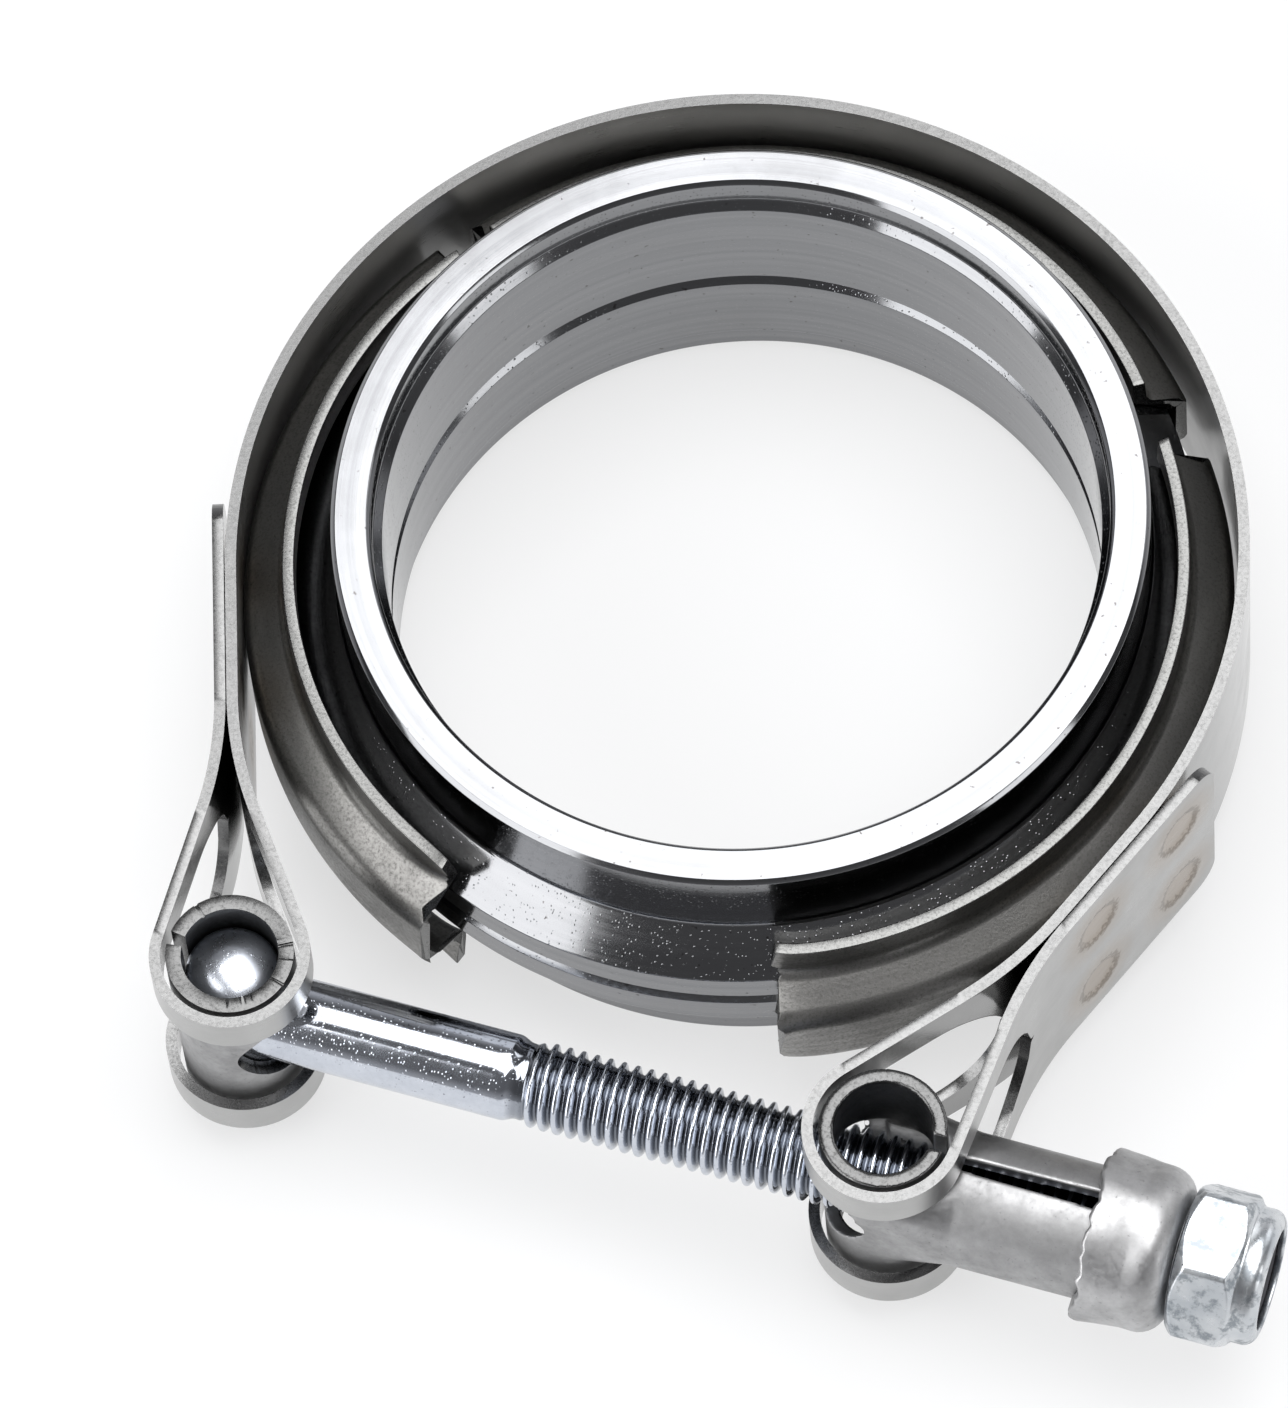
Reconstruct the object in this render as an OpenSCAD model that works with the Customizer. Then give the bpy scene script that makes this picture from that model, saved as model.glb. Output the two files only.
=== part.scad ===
// V band clamp closed loosely round the pair of turned flanges that it joins.
// The origin is on the axis of the flanges, at the surface that they stand on. The bolt lies along X.

/* [Flanges] */
// Inside diameter of the flanges, a sliding fit on a 63.5 mm pipe
bore_d = 64; // [60:0.5:65]
// Diameter of the shallow socket at the pipe end
socket_d = 65.6; // [65.2:0.1:68]
// Depth of the socket
socket_depth = 3; // [1:0.5:6]
// Outside diameter of the neck
neck_d = 72.8; // [70:0.2:74]
// Outside diameter of the V rim
rim_d = 81.6; // [79:0.2:82.4]
// Height of one rim at its outer edge
rim_h = 3.9; // [3:0.1:5]
// Angle of the V faces from the joint plane
v_angle = 30; // [15:1:35]
// Height of the lower flange, up to the joint plane
lower_h = 16.1; // [14:0.1:22]
// Height of the upper flange above the joint plane
upper_h = 14.9; // [13:0.1:20]
// Diameter of the spigot that centres the upper flange
spigot_d = 72; // [68:0.5:76]
// Height of the spigot
spigot_h = 2.3; // [1.2:0.1:3]
// Clearance round and under the spigot
spigot_gap = 0.1; // [0.05:0.05:0.3]
// Chamfer of the edges at the joint
joint_chamfer = 0.8; // [0.2:0.1:1]
// Chamfer of the edges at the pipe ends
edge_chamfer = 0.4; // [0.1:0.1:0.8]

/* [Band] */
// Inside diameter of the loosely closed band
band_inner_d = 89.1; // [88:0.1:92]
// Thickness of the strip
band_t = 1; // [0.7:0.1:1.2]
// Width of the strip
band_w = 22; // [20:0.5:25]
// How far the loose band hangs back from the axis of the flanges, towards the bolt
band_back = 1.6; // [1.2:0.1:1.7]
// Distance between the axes of the two loops
loop_spread = 59.8; // [54:0.2:64]
// How far the loops sit to the left of the band's centre line
loop_left = 1.1; // [0:0.1:2]
// Distance from the centre of the band to the bolt
bolt_reach = 50.3; // [49:0.1:56]
// Distance from a loop's axis to where its two layers meet
pinch_reach = 25; // [22:0.5:27]
// Radius at which each layer bends away from the other
leg_bend_r = 35; // [15:1:45]
// Length of the folded-back tail that is welded down
tail_len = 20; // [14:0.5:22]
// Radius of the tail's corners
tail_corner_r = 2.5; // [1:0.5:5]
// Gap left between the two welded layers
layer_gap = 0.1; // [0.05:0.05:0.3]
// Height of the slots through the loops
slot_h = 14; // [13:0.5:16]
// How far the slots reach from a loop's axis
slot_reach = 18; // [14:0.5:20]
// Diameter of a spot weld
weld_d = 5; // [3:0.5:6]
// Depth of the dimple that a spot weld leaves
weld_dent = 0.2; // [0.05:0.05:0.4]

/* [V channels] */
// Thickness of the channel sheet
sheet_t = 1.1; // [0.8:0.1:1.4]
// Width of a channel, lip to lip
channel_w = 20; // [18:0.5:22]
// Arc that one channel covers, in degrees
channel_arc = 104; // [80:1:104]
// Where the middle of the left channel is, in degrees from the X axis
left_middle = 196.6; // [195:0.1:199]
// Where the middle of the rear channel is
rear_middle = 90.7; // [89:0.1:91]
// Where the middle of the right channel is
right_middle = -18; // [-19:0.1:-16]
// Clearance between the web and the rims when the clamp is tight
web_gap = 0.8; // [0.4:0.1:1]
// Clearance between the lips and the neck when the clamp is tight
lip_gap = 1.25; // [0.6:0.05:1.8]
// Inside radius of the bends in the sheet
bend_r = 0.6; // [0.3:0.1:1]
// Gap between a channel and the strip at the weld
channel_seat = 0.05; // [0.02:0.01:0.1]

/* [Barrels] */
// Outside diameter of the rolled barrels
barrel_d = 11.3; // [10.6:0.1:12]
// Wall of the rolled barrels
barrel_t = 1.35; // [1:0.05:1.35]
// Clearance between a barrel and its loop
loop_gap = 0.45; // [0.2:0.05:0.8]
// Width of the open seam of a barrel
seam_w = 1.3; // [0.6:0.1:2]
// Diameter of the hole where the shank leaves the left barrel
shank_hole_d = 9.8; // [9:0.1:10.4]
// How far round the barrel that hole is turned, in degrees
shank_hole_turn = 13; // [0:1:16]
// Diameter of the hole where the bolt enters the right barrel
entry_hole_d = 10.4; // [10.3:0.1:11]
// How far round the barrel that hole is turned, in degrees
entry_hole_turn = 15; // [0:1:16]

/* [Bolt] */
// Nominal diameter of the shank and the thread
bolt_d = 7.8; // [7.4:0.1:7.8]
// Length from the axis of the head to the end of the thread
bolt_len = 93.2; // [92.4:0.1:93.6]
// Length of the plain shank, from the axis of the head
shank_len = 25.2; // [20:0.2:32]
// Length of the taper between the shank and the thread
taper_len = 1.4; // [0.8:0.1:3]
// Diameter at the bottom of the taper
root_d = 6.7; // [6:0.1:7.2]
// Gap between the head and the inside of the barrel
head_gap = 0.15; // [0.1:0.05:0.3]
// Height of the head from tip to tip
head_h = 18.4; // [11:0.2:20]
// Radius of the domes at the head's two tips
dome_r = 6; // [4.5:0.1:10]

/* [Stem and ferrule] */
// Outside diameter of the rolled stem
stem_d = 12; // [11.9:0.1:12.6]
// Wall of the stem
stem_t = 1.35; // [1:0.05:1.35]
// Length of the stem, from the axis of its barrel
stem_len = 25.4; // [24:0.2:27]
// Width of the stem's seam at the barrel
stem_seam = 1; // [0.6:0.1:1.4]
// Width of the stem's seam at its end
stem_seam_end = 2; // [1:0.1:2.6]
// How far the seam lies round the stem from its top, towards the band, in degrees
stem_seam_turn = 7; // [0:1:15]
// Distance from the barrel's axis to the edge of the ferrule
ferrule_start = 19; // [17:0.5:20]
// Wall of the ferrule
ferrule_t = 1.4; // [0.8:0.1:1.6]
// Clearance between the ferrule and the stem
ferrule_gap = 0.05; // [0.02:0.01:0.1]
// How far the edge of the ferrule flares out
ferrule_flare = 0.4; // [0.2:0.1:0.8]
// How far back from its front edge the flare dies out
ferrule_waist = 4; // [2:0.1:6]
// Diameter of the hole for the bolt in the ferrule
ferrule_hole_d = 9.2; // [8.8:0.1:9.4]

/* [Nut] */
// Distance across the flats of the nut
nut_af = 13; // [12.6:0.1:13]
// Height of the hexagon
nut_hex_h = 5.7; // [5:0.1:6]
// Height of the collar beyond the hexagon
nut_collar_h = 2.2; // [1.8:0.1:2.6]
// Outside diameter of the collar
nut_collar_d = 12.2; // [11.8:0.1:12.4]
// Diameter of the nut's bore
nut_bore_d = 8; // [8:0.1:8.2]
// How far the hexagon is turned about the bolt, in degrees
nut_turn = 24; // [0:1:60]
// Gap between the nut and the ferrule
nut_gap = 0.25; // [0.2:0.05:0.4]
// Thickness of the locking ring
insert_t = 1.7; // [1.2:0.1:1.7]

/* [Hidden] */
$fn = 96;
// A little more than a cut needs, so that it runs past the face
past = 1;
// Number of steps in a rounded bend of a sheet's section
bend_steps = 4;

// Flange radii and levels
bore_r = bore_d / 2;
socket_r = socket_d / 2;
neck_r = neck_d / 2;
rim_r = rim_d / 2;
spigot_r = spigot_d / 2;
recess_r = spigot_r + spigot_gap;
recess_depth = spigot_h + spigot_gap;
joint_z = lower_h;
v_rise = (rim_r - neck_r) * tan(v_angle);

// Band radii, and its centre and middle plane
band_r = band_inner_d / 2;
band_out_r = band_r + band_t;
band_y = -band_back;
clamp_z = joint_z;
bolt_y = band_y - bolt_reach;
barrel_r = barrel_d / 2;
loop_in_r = barrel_r + loop_gap;
loop_mid_r = loop_in_r + band_t / 2;
left_x = -loop_left - loop_spread / 2;
right_x = -loop_left + loop_spread / 2;
// Radius of the circle that the seam between the two welded layers touches
tangent_r = band_out_r + layer_gap / 2;
// Half the distance between the middles of the two welded layers
layer_mid = (band_t + layer_gap) / 2;
// How far each leg turns before it runs straight to the loop
leg_turn = atan2(pinch_reach, leg_bend_r + layer_mid)
    - acos((leg_bend_r + loop_mid_r) / norm([pinch_reach, leg_bend_r + layer_mid]));
// Length of the straight part of a leg
leg_straight = pinch_reach * cos(leg_turn) - (leg_bend_r + layer_mid) * sin(leg_turn);

// Channel section
web_out_r = rim_r + web_gap + sheet_t;
web_in_r = rim_r + web_gap;
lip_in_r = neck_r + lip_gap;
lip_out_r = lip_in_r + sheet_t;
web_half = rim_h - web_gap * tan(v_angle);
channel_shift = band_r - channel_seat - web_out_r;

// Stem, ferrule and nut, as distances from the right barrel's axis
stem_r = stem_d / 2;
ferrule_in_r = stem_r + ferrule_gap;
ferrule_out_r = ferrule_in_r + ferrule_t;
ferrule_end = stem_len + ferrule_gap + ferrule_t;
nut_start = ferrule_end + nut_gap;
insert_r = nut_collar_d / 2 - 0.9;
head_r = barrel_r - barrel_t - head_gap;

// Points of the arc that rounds the corner b of the path a, b, c
function corner(a, b, c, r) =
    let (
        to_a = (a - b) / norm(a - b),
        to_c = (c - b) / norm(c - b),
        half = acos(to_a * to_c) / 2,
        middle = (to_a + to_c) / norm(to_a + to_c),
        centre = b + middle * r / sin(half),
        start = b + to_a * r / tan(half) - centre,
        end = b + to_c * r / tan(half) - centre,
        from = atan2(start[1], start[0]),
        sweep = ((atan2(end[1], end[0]) - from + 540) % 360) - 180
    )
    [for (i = [0:bend_steps]) centre + r * [cos(from + sweep * i / bend_steps), sin(from + sweep * i / bend_steps)]];

// Outline with its corners rounded. Each point is [x, y, radius], and a radius of 0 leaves a corner sharp.
function rounded(points) =
    let (n = len(points))
    [for (i = [0:n - 1])
        let (
            here = points[i],
            before = points[(i + n - 1) % n],
            after = points[(i + 1) % n]
        )
        each here[2] == 0
            ? [[here[0], here[1]]]
            : corner([before[0], before[1]], [here[0], here[1]], [after[0], after[1]], here[2])];

module upper_flange() {
    top = joint_z + upper_h;
    low = joint_z - spigot_h;
    step = socket_r - bore_r;
    color("silver")
        rotate_extrude()
            polygon([
                [bore_r, low + joint_chamfer],
                [bore_r + joint_chamfer, low],
                [spigot_r, low],
                [spigot_r, joint_z],
                [rim_r - joint_chamfer, joint_z],
                [rim_r, joint_z + joint_chamfer],
                [rim_r, joint_z + rim_h],
                [neck_r, joint_z + rim_h + v_rise],
                [neck_r, top - edge_chamfer],
                [neck_r - edge_chamfer, top],
                [socket_r + edge_chamfer, top],
                [socket_r, top - edge_chamfer],
                [socket_r, top - socket_depth],
                [bore_r, top - socket_depth - step]
            ]);
}

module lower_flange() {
    floor_z = joint_z - recess_depth;
    step = socket_r - bore_r;
    color("silver")
        rotate_extrude()
            polygon([
                [socket_r, 0],
                [neck_r - edge_chamfer, 0],
                [neck_r, edge_chamfer],
                [neck_r, joint_z - rim_h - v_rise],
                [rim_r, joint_z - rim_h],
                [rim_r, joint_z - joint_chamfer],
                [rim_r - joint_chamfer, joint_z],
                [recess_r, joint_z],
                [recess_r, floor_z],
                [bore_r + joint_chamfer, floor_z],
                [bore_r, floor_z - joint_chamfer],
                [bore_r, socket_depth + step],
                [socket_r, socket_depth]
            ]);
}

// The strip's middle line is a list of stations [x, y, heading]. These two give the stations that follow one.
function straight_on(from, length) =
    [[from[0] + length * cos(from[2]), from[1] + length * sin(from[2]), from[2]]];

function round_bend(from, turn, radius, step) =
    let (
        side = sign(turn),
        n = ceil(abs(turn) / step),
        centre_x = from[0] - side * radius * sin(from[2]),
        centre_y = from[1] + side * radius * cos(from[2])
    )
    [for (i = [1:n])
        let (heading = from[2] + turn * i / n)
        [centre_x + side * radius * sin(heading), centre_y - side * radius * cos(heading), heading]];

function last(list) = list[len(list) - 1];

// Angle round the band at which its right end leaves the circle, and how far it runs from there to the loop
function tangent_len(reach_x) = sqrt(reach_x * reach_x + bolt_reach * bolt_reach - tangent_r * tangent_r);
function tangent_at(reach_x) = atan2(-bolt_reach, reach_x) + acos(tangent_r / norm([reach_x, bolt_reach]));

// Stations of the right half of the band, from the middle of the rear to the end of the tail
function half_path(reach_x) =
    let (
        start = [0, band_r + band_t / 2, 0],
        ring = round_bend(start, tangent_at(reach_x) - 90, band_r + band_t / 2, 3),
        run = straight_on(last(ring), tangent_len(reach_x) - pinch_reach),
        leg = round_bend(last(run), -leg_turn, leg_bend_r, 5),
        leg_run = straight_on(last(leg), leg_straight),
        loop = round_bend(last(leg_run), 180 + 2 * leg_turn, loop_mid_r, 9),
        back_run = straight_on(last(loop), leg_straight),
        back_leg = round_bend(last(back_run), -leg_turn, leg_bend_r, 5),
        tail = straight_on(last(back_leg), tail_len)
    )
    concat(ring, run, leg, leg_run, loop, back_run, back_leg, tail);

// One edge of the strip, half its thickness to the left of the stations, or to the right if it is negative
function beside(path, offset) = [for (p = path) [p[0] - offset * sin(p[2]), p[1] + offset * cos(p[2])]];

// Slot that lets the bolt or the stem out of a loop
module loop_slot() {
    end_x = slot_reach - slot_h / 2;
    depth = 2 * (loop_mid_r + band_t);
    translate([end_x, 0, 0])
        rotate([90, 0, 0])
            cylinder(d = slot_h, h = depth, center = true);
    translate([-loop_mid_r * 2, -depth / 2, -slot_h / 2 + 0.03])
        cube([end_x + loop_mid_r * 2, depth, slot_h - 0.06]);
}

// Cuts that round the two corners of a tail's end. They bite 0.02 mm deep, so that none ends on an edge.
module tail_corners() {
    r = tail_corner_r;
    for (side = [-1, 1])
        translate([pinch_reach + tail_len - r, 0, side * (band_w / 2 - r)])
            rotate([90, 0, 0])
                linear_extrude(2 * band_t)
                    polygon(concat(
                        [[r + past, 0], [r + past, side * (r + past)], [0, side * (r + past)]],
                        [for (i = [0:6]) (r - 0.02) * [sin(i * 15), side * cos(i * 15)]]
                    ));
}

// Places that the spot welds of a tail take, seen along the loop's own X and Z
function weld_places() = [
    for (x = [pinch_reach + weld_d * 0.7, pinch_reach + tail_len - weld_d])
        for (z = [-1, 1])
            [x, z * band_w / 4]
];

// Puts what follows in the frame of the right loop: X runs from its axis along the weld, Y towards the band
module at_loop(reach_x) {
    rotate([0, 0, tangent_at(reach_x)])
        translate([tangent_r, -tangent_len(reach_x), 0])
            rotate([0, 0, 90])
                children();
}

// Pegs of weld metal between the two layers of the right end
module end_welds() {
    for (place = weld_places())
        translate([place[0], 0, place[1]])
            rotate([90, 0, 0])
                cylinder(d = weld_d - past, h = layer_gap + band_t, center = true);
}

// Everything that is cut out of the right end
module end_cuts() {
    loop_slot();
    tail_corners();
    for (place = weld_places())
        translate([place[0], -layer_mid - band_t / 2 + weld_dent, place[1]])
            rotate([90, 0, 0])
                cylinder(d = weld_d, h = band_t);
}

module band_strap() {
    right = half_path(right_x);
    left = half_path(-left_x);
    // The left half is run backwards and mirrored, so that the strip is one line from tail to tail
    path = concat(
        [for (i = [len(left) - 1:-1:0]) [-left[i][0], left[i][1], -left[i][2]]],
        right
    );
    inner = beside(path, -band_t / 2);
    color("gainsboro")
        translate([0, band_y, clamp_z])
            difference() {
                union() {
                    translate([0, 0, -band_w / 2])
                        linear_extrude(band_w)
                            polygon(concat(
                                beside(path, band_t / 2),
                                [for (i = [len(inner) - 1:-1:0]) inner[i]]
                            ));
                    at_loop(right_x)
                        end_welds();
                    mirror([1, 0, 0])
                        at_loop(-left_x)
                            end_welds();
                }
                at_loop(right_x)
                    end_cuts();
                mirror([1, 0, 0])
                    at_loop(-left_x)
                        end_cuts();
            }
}

// Half of the channel's section, from the middle of the web up to the lip
function channel_half() =
    let (
        lip_top = channel_w / 2,
        slope = tan(v_angle),
        skin = sheet_t / cos(v_angle),
        outer_r = bend_r + sheet_t
    )
    [
        [web_out_r, web_half + skin - sheet_t * slope, outer_r],
        [lip_out_r, web_half + skin + (web_in_r - lip_out_r) * slope, bend_r],
        [lip_out_r, lip_top, 0],
        [lip_in_r, lip_top, 0],
        [lip_in_r, web_half + (web_in_r - lip_in_r) * slope, outer_r],
        [web_in_r, web_half, bend_r]
    ];

module v_segment(middle) {
    half = channel_half();
    mirrored = [for (i = [len(half) - 1:-1:0]) [half[i][0], -half[i][1], half[i][2]]];
    color("dimgray")
        translate([channel_shift * cos(middle), band_y + channel_shift * sin(middle), clamp_z])
            rotate([0, 0, middle - channel_arc / 2])
                rotate_extrude(angle = channel_arc)
                    polygon(rounded(concat(half, mirrored)));
}

module v_segment_left() {
    v_segment(left_middle);
}

module v_segment_rear() {
    v_segment(rear_middle);
}

module v_segment_right() {
    v_segment(right_middle);
}

module bolt_barrel() {
    in_r = barrel_r - barrel_t;
    color("darkgray")
        translate([left_x, bolt_y, clamp_z])
            difference() {
                cylinder(r = barrel_r, h = band_w, center = true);
                cylinder(r = in_r, h = band_w + past, center = true);
                translate([-barrel_r - past, -seam_w / 2, -band_w])
                    cube([barrel_r + past - in_r / 2, seam_w, 2 * band_w]);
                rotate([0, 90, -shank_hole_turn])
                    cylinder(d = shank_hole_d, h = barrel_r + past);
            }
}

module t_bolt() {
    color("lightsteelblue")
        translate([left_x, bolt_y, clamp_z]) {
            for (turn = [0, 180])
                rotate([turn, 0, 0])
                    intersection() {
                        cylinder(r = head_r, h = head_h / 2);
                        translate([0, 0, head_h / 2 - dome_r])
                            sphere(dome_r);
                    }
            rotate([0, 90, 0])
                rotate_extrude()
                    polygon([
                        [0, 0],
                        [bolt_d / 2, 0],
                        [bolt_d / 2, shank_len],
                        [root_d / 2, shank_len + taper_len],
                        [bolt_d / 2, shank_len + taper_len + (bolt_d - root_d) / 2],
                        [bolt_d / 2, bolt_len - (bolt_d - root_d) / 2],
                        [root_d / 2, bolt_len],
                        [0, bolt_len]
                    ]);
        }
}

module nut_trunnion() {
    in_r = barrel_r - barrel_t;
    neck_x = barrel_r + barrel_t;
    color("gray")
        translate([right_x, bolt_y, clamp_z])
            difference() {
                union() {
                    cylinder(r = barrel_r, h = band_w, center = true);
                    hull() {
                        cylinder(r = barrel_r, h = stem_d * 0.8, center = true, $fn = 32);
                        translate([neck_x, 0, 0])
                            rotate([0, 90, 0])
                                cylinder(r = stem_r, h = 0.2, $fn = 32);
                    }
                    rotate([0, 90, 0])
                        translate([0, 0, neck_x])
                            cylinder(r = stem_r, h = stem_len - neck_x);
                }
                cylinder(r = in_r, h = band_w + past, center = true);
                translate([-barrel_r * sin(entry_hole_turn), 0, 0])
                    rotate([0, 90, 0])
                        cylinder(r = stem_r - stem_t, h = stem_len + barrel_r);
                rotate([0, -90, entry_hole_turn])
                    cylinder(d = entry_hole_d, h = barrel_r + past);
                for (side = [-1, 1])
                    translate([in_r / 2, -seam_w / 2, side < 0 ? -band_w : stem_r])
                        cube([barrel_r, seam_w, band_w - stem_r]);
                rotate([-stem_seam_turn, 0, 0])
                    linear_extrude(stem_r + past)
                        polygon([
                            [in_r / 2, -stem_seam / 2],
                            [stem_len + past, -stem_seam_end / 2],
                            [stem_len + past, stem_seam_end / 2],
                            [in_r / 2, stem_seam / 2]
                        ]);
            }
}

module stem_ferrule() {
    shoulder = ferrule_t + 1.2;
    color("darkgray")
        translate([right_x, bolt_y, clamp_z])
            rotate([0, 90, 0])
                difference() {
                    rotate_extrude()
                        polygon(rounded([
                            [ferrule_in_r, ferrule_start, 0],
                            [ferrule_out_r + ferrule_flare, ferrule_start, 0],
                            [ferrule_out_r, ferrule_start + ferrule_waist, ferrule_waist],
                            [ferrule_out_r, ferrule_end, shoulder],
                            [ferrule_hole_d / 2, ferrule_end, 0.3],
                            [ferrule_hole_d / 2, stem_len + ferrule_gap, 0],
                            [ferrule_in_r, stem_len + ferrule_gap, 0.3]
                        ]));
                    for (angle = [15:72:359])
                        rotate([0, 0, angle])
                            translate([ferrule_in_r - past, 0, ferrule_start - 1.9])
                                rotate([0, 90, 0])
                                    cylinder(d = 5, h = ferrule_t + 2 * past);
                }
}

module lock_nut() {
    hex_r = nut_af / 2 / cos(30);
    height = nut_hex_h + nut_collar_h;
    color("lightsteelblue")
        translate([right_x + nut_start, bolt_y, clamp_z])
            rotate([0, 90, 0])
                difference() {
                    union() {
                        intersection() {
                            rotate([0, 0, nut_turn])
                                cylinder(r = hex_r, h = nut_hex_h, $fn = 6);
                            rotate_extrude()
                                polygon([
                                    [0, 0],
                                    [nut_af / 2 - 0.2, 0],
                                    [hex_r + 0.1, 0.75],
                                    [hex_r + 0.1, nut_hex_h - 0.75],
                                    [nut_af / 2 - 0.3, nut_hex_h],
                                    [0, nut_hex_h]
                                ]);
                        }
                        rotate_extrude()
                            polygon(rounded([
                                [0, nut_hex_h - 1, 0],
                                [nut_collar_d / 2, nut_hex_h - 1, 0],
                                [nut_collar_d / 2, height, 1.2],
                                [0, height, 0]
                            ]));
                    }
                    translate([0, 0, -past])
                        cylinder(d = nut_bore_d, h = height + 2 * past);
                    translate([0, 0, nut_hex_h - 0.1])
                        cylinder(r = insert_r, h = insert_t);
                    translate([0, 0, height - 0.6])
                        cylinder(r = insert_r - 0.6, h = past);
                }
}

module nut_insert() {
    color("dimgray")
        translate([right_x + nut_start + nut_hex_h - 0.05, bolt_y, clamp_z])
            rotate([0, 90, 0])
                difference() {
                    cylinder(r = insert_r - 0.05, h = insert_t - 0.1);
                    translate([0, 0, -past])
                        cylinder(d = nut_bore_d, h = insert_t + 2 * past);
                }
}

upper_flange();
lower_flange();
band_strap();
v_segment_left();
v_segment_rear();
v_segment_right();
bolt_barrel();
t_bolt();
nut_trunnion();
stem_ferrule();
lock_nut();
nut_insert();
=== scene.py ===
"""Dresses the v band clamp: fine meshes and metal finishes for every piece, a pale studio and the camera."""
import math

import bmesh
import bpy
import numpy as np
from mathutils import Matrix, Quaternion, Vector


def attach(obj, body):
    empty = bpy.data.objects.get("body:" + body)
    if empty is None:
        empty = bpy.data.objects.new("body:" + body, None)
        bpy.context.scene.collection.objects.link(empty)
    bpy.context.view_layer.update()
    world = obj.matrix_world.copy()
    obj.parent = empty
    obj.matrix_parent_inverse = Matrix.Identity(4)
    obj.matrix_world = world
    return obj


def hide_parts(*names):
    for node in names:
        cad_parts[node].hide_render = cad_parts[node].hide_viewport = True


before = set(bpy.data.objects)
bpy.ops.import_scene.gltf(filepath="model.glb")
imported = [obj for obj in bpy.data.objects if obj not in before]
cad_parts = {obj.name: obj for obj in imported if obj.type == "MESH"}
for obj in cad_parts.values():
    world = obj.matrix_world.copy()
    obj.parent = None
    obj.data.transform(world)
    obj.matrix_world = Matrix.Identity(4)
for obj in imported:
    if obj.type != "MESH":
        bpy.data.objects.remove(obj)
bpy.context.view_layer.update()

MM = 0.001
# Points nearer than this are joined
MERGE = 0.002

# Flanges, in millimetres as in the part's source
BORE_R = 32.0
SOCKET_R = 32.8
SOCKET_DEPTH = 3.0
NECK_R = 36.4
RIM_R = 40.8
RIM_H = 3.9
V_ANGLE = 30.0
LOWER_H = 16.1
UPPER_H = 14.9
SPIGOT_R = 36.0
SPIGOT_H = 2.3
SPIGOT_GAP = 0.1
JOINT_CHAMFER = 0.8
EDGE_CHAMFER = 0.4

# Band
BAND_R = 44.55
BAND_T = 1.0
BAND_W = 22.0
BAND_Y = -1.6
CLAMP_Z = LOWER_H
BOLT_REACH = 50.3
BOLT_Y = BAND_Y - BOLT_REACH
LEFT_X = -31.0
RIGHT_X = 28.8
PINCH = 25.0
LEG_BEND_R = 35.0
TAIL_LEN = 20.0
TAIL_CORNER_R = 2.5
LAYER_GAP = 0.1
SLOT_H = 14.0
SLOT_REACH = 18.0
WELD_D = 5.0

# Channels
SHEET_T = 1.1
CHANNEL_W = 20.0
CHANNEL_ARC = 104.0
CHANNEL_MIDDLES = (196.6, 90.7, -18.0)
WEB_GAP = 0.8
LIP_GAP = 1.25
BEND_R = 0.6
CHANNEL_SEAT = 0.05

# Barrels, bolt, stem, ferrule and nut
BARREL_R = 5.65
BARREL_T = 1.35
LOOP_GAP = 0.45
SEAM_W = 1.3
HOLE_R = 4.9
HOLE_TURN = 13.0
BOLT_R = 3.9
BOLT_LEN = 93.2
SHANK_LEN = 25.2
TAPER_LEN = 1.4
ROOT_R = 3.35
HEAD_R = 4.15
HEAD_H = 18.4
DOME_R = 6.0
PITCH = 1.25
TIP_CHAMFER = 0.9
TIP_SLOPE = 0.75
STEM_R = 6.0
STEM_LEN = 25.4
FERRULE_START = 19.0
FERRULE_T = 1.4
FERRULE_GAP = 0.05
FERRULE_FLARE = 0.4
FERRULE_HOLE_R = 4.6
NUT_AF = 13.0
NUT_HEX_H = 5.7
NUT_COLLAR_H = 2.2
NUT_COLLAR_R = 6.1
NUT_BORE_R = 4.0
NUT_TURN = 0.0
NUT_CHAMFER = 1.1
NUT_GAP = 0.25
INSERT_T = 1.7

BAND_OUT_R = BAND_R + BAND_T
LOOP_MID_R = BARREL_R + LOOP_GAP + BAND_T / 2
TANGENT_R = BAND_OUT_R + LAYER_GAP / 2
LAYER_MID = (BAND_T + LAYER_GAP) / 2
FERRULE_END = STEM_LEN + FERRULE_GAP + FERRULE_T
NUT_START = FERRULE_END + NUT_GAP
INSERT_R = NUT_COLLAR_R - 0.9


def smoothstep(x):
    x = np.clip(x, 0, 1)
    return x * x * (3 - 2 * x)


# Mesh helpers

def add_piece(name, verts_mm, faces, materials, face_materials=None):
    """Makes a mesh object from points in millimetres and gives it its materials."""
    mesh = bpy.data.meshes.new(name)
    mesh.from_pydata([tuple(v) for v in np.asarray(verts_mm, dtype=float) * MM], [], faces)
    for material in materials:
        mesh.materials.append(material)
    if face_materials is not None:
        mesh.polygons.foreach_set("material_index", face_materials)
    mesh.polygons.foreach_set("use_smooth", [True] * len(mesh.polygons))
    bm = bmesh.new()
    bm.from_mesh(mesh)
    bmesh.ops.remove_doubles(bm, verts=bm.verts, dist=MERGE * MM)
    bmesh.ops.dissolve_degenerate(bm, edges=bm.edges, dist=MERGE / 4 * MM)
    bmesh.ops.recalc_face_normals(bm, faces=bm.faces)
    bm.to_mesh(mesh)
    bm.free()
    mesh.update()
    piece = bpy.data.objects.new(name, mesh)
    bpy.context.scene.collection.objects.link(piece)
    return piece


def add_modifier(piece, kind, **settings):
    modifier = piece.modifiers.new(kind.lower(), kind)
    for key, value in settings.items():
        setattr(modifier, key, value)


def add_bevel(piece, width, segments, angle):
    """Rounds the edges that turn by more than angle degrees. width is in millimetres."""
    limit = math.radians(angle)
    add_modifier(piece, "BEVEL", width=width * MM, segments=segments, limit_method="ANGLE", angle_limit=limit)


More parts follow.
